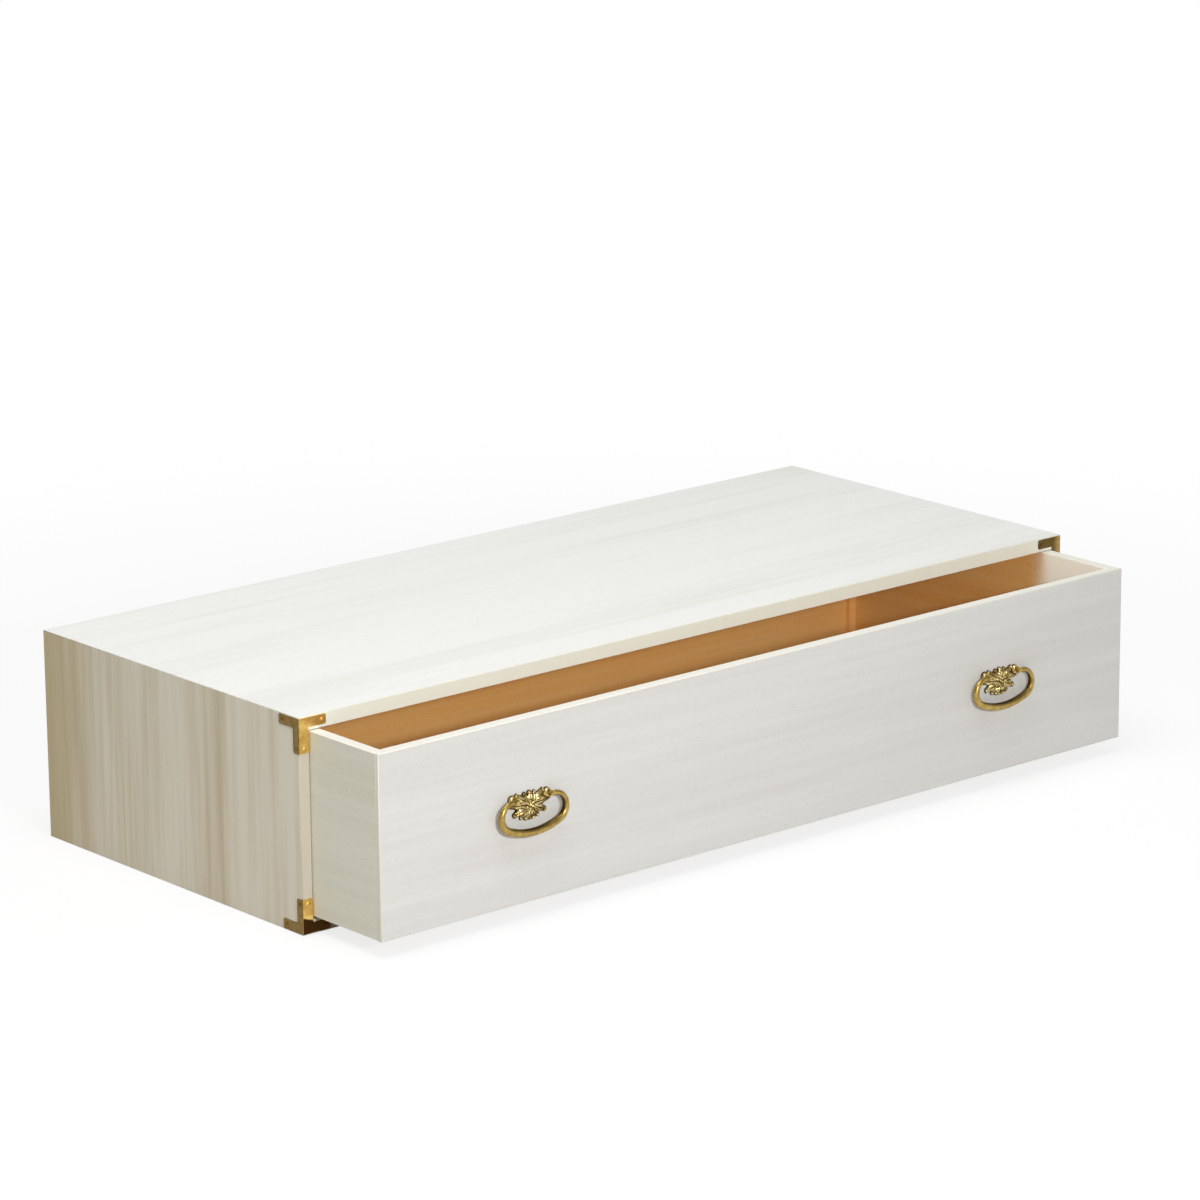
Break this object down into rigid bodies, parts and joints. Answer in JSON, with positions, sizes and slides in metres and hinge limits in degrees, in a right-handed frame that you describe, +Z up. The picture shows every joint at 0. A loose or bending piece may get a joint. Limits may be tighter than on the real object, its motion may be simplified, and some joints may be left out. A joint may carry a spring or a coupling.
{
  "type": "chest of drawers",
  "caption": "Long low clothing chest of whitened paulownia with a full-width drawer, brass corner fittings and cast brass drop handles.",
  "frame": {"origin": "middle of the case's underside, on the floor", "axes": "+X along the length, to the right of someone who faces the drawer front; +Y to the back; +Z up; the drawer opens towards -Y"},
  "size_m": [1.0038, 0.5243, 0.212],
  "materials": {
    "whitened_paulownia": "planed paulownia rubbed with pale clay powder, matt",
    "inner_paulownia": "planed paulownia, pale and matt, warmer inside",
    "hard_wood": "planed hardwood, waxed",
    "sheet_brass": "satin rolled sheet, warm gold",
    "nail_brass": "polished nail heads",
    "cast_brass": "cast, burnished high spots over dark recesses",
    "plain_steel": "zinc bright"
  },
  "bodies": {
    "case": {"case_top_board": "whitened_paulownia", "case_bottom_board": "whitened_paulownia", "case_left_side": "whitened_paulownia", "case_right_side": "whitened_paulownia", "case_back_panel": "inner_paulownia", "top_left_tongue": "hard_wood", "top_right_tongue": "hard_wood", "bottom_left_tongue": "hard_wood", "bottom_right_tongue": "hard_wood", "left_runner": "hard_wood", "right_runner": "hard_wood", "left_drawer_stop": "inner_paulownia", "right_drawer_stop": "inner_paulownia", "top_left_fitting": "sheet_brass", "top_right_fitting": "sheet_brass", "bottom_left_fitting": "sheet_brass", "bottom_right_fitting": "sheet_brass", "top_left_nails": "nail_brass", "top_right_nails": "nail_brass", "bottom_left_nails": "nail_brass", "bottom_right_nails": "nail_brass", "back_panel_nails": "plain_steel"},
    "drawer": {"drawer_front": "whitened_paulownia", "drawer_left_side": "inner_paulownia", "drawer_right_side": "inner_paulownia", "drawer_back": "inner_paulownia", "drawer_bottom": "inner_paulownia", "left_glue_block": "inner_paulownia", "right_glue_block": "inner_paulownia", "left_handle_plate": "cast_brass", "right_handle_plate": "cast_brass", "left_handle_left_pin": "cast_brass", "left_handle_right_pin": "cast_brass", "right_handle_left_pin": "cast_brass", "right_handle_right_pin": "cast_brass", "left_handle_washers": "plain_steel", "right_handle_washers": "plain_steel"},
    "left_bail": {"left_bail": "cast_brass"},
    "right_bail": {"right_bail": "cast_brass"}
  },
  "joints": [
    {"name": "drawer_slide", "type": "slide", "parent": "case", "child": "drawer", "axis": [0, -1, 0], "range_m": [-0.102, 0.238]},
    {"name": "left_bail_swing", "type": "hinge", "parent": "drawer", "child": "left_bail", "pos_m": [-0.31, -0.3148, 0.1206], "axis": [-1, 0, 0], "range_deg": [-6, 186]},
    {"name": "right_bail_swing", "type": "hinge", "parent": "drawer", "child": "right_bail", "pos_m": [0.31, -0.3148, 0.1206], "axis": [-1, 0, 0], "range_deg": [-6, 186]}
  ]
}
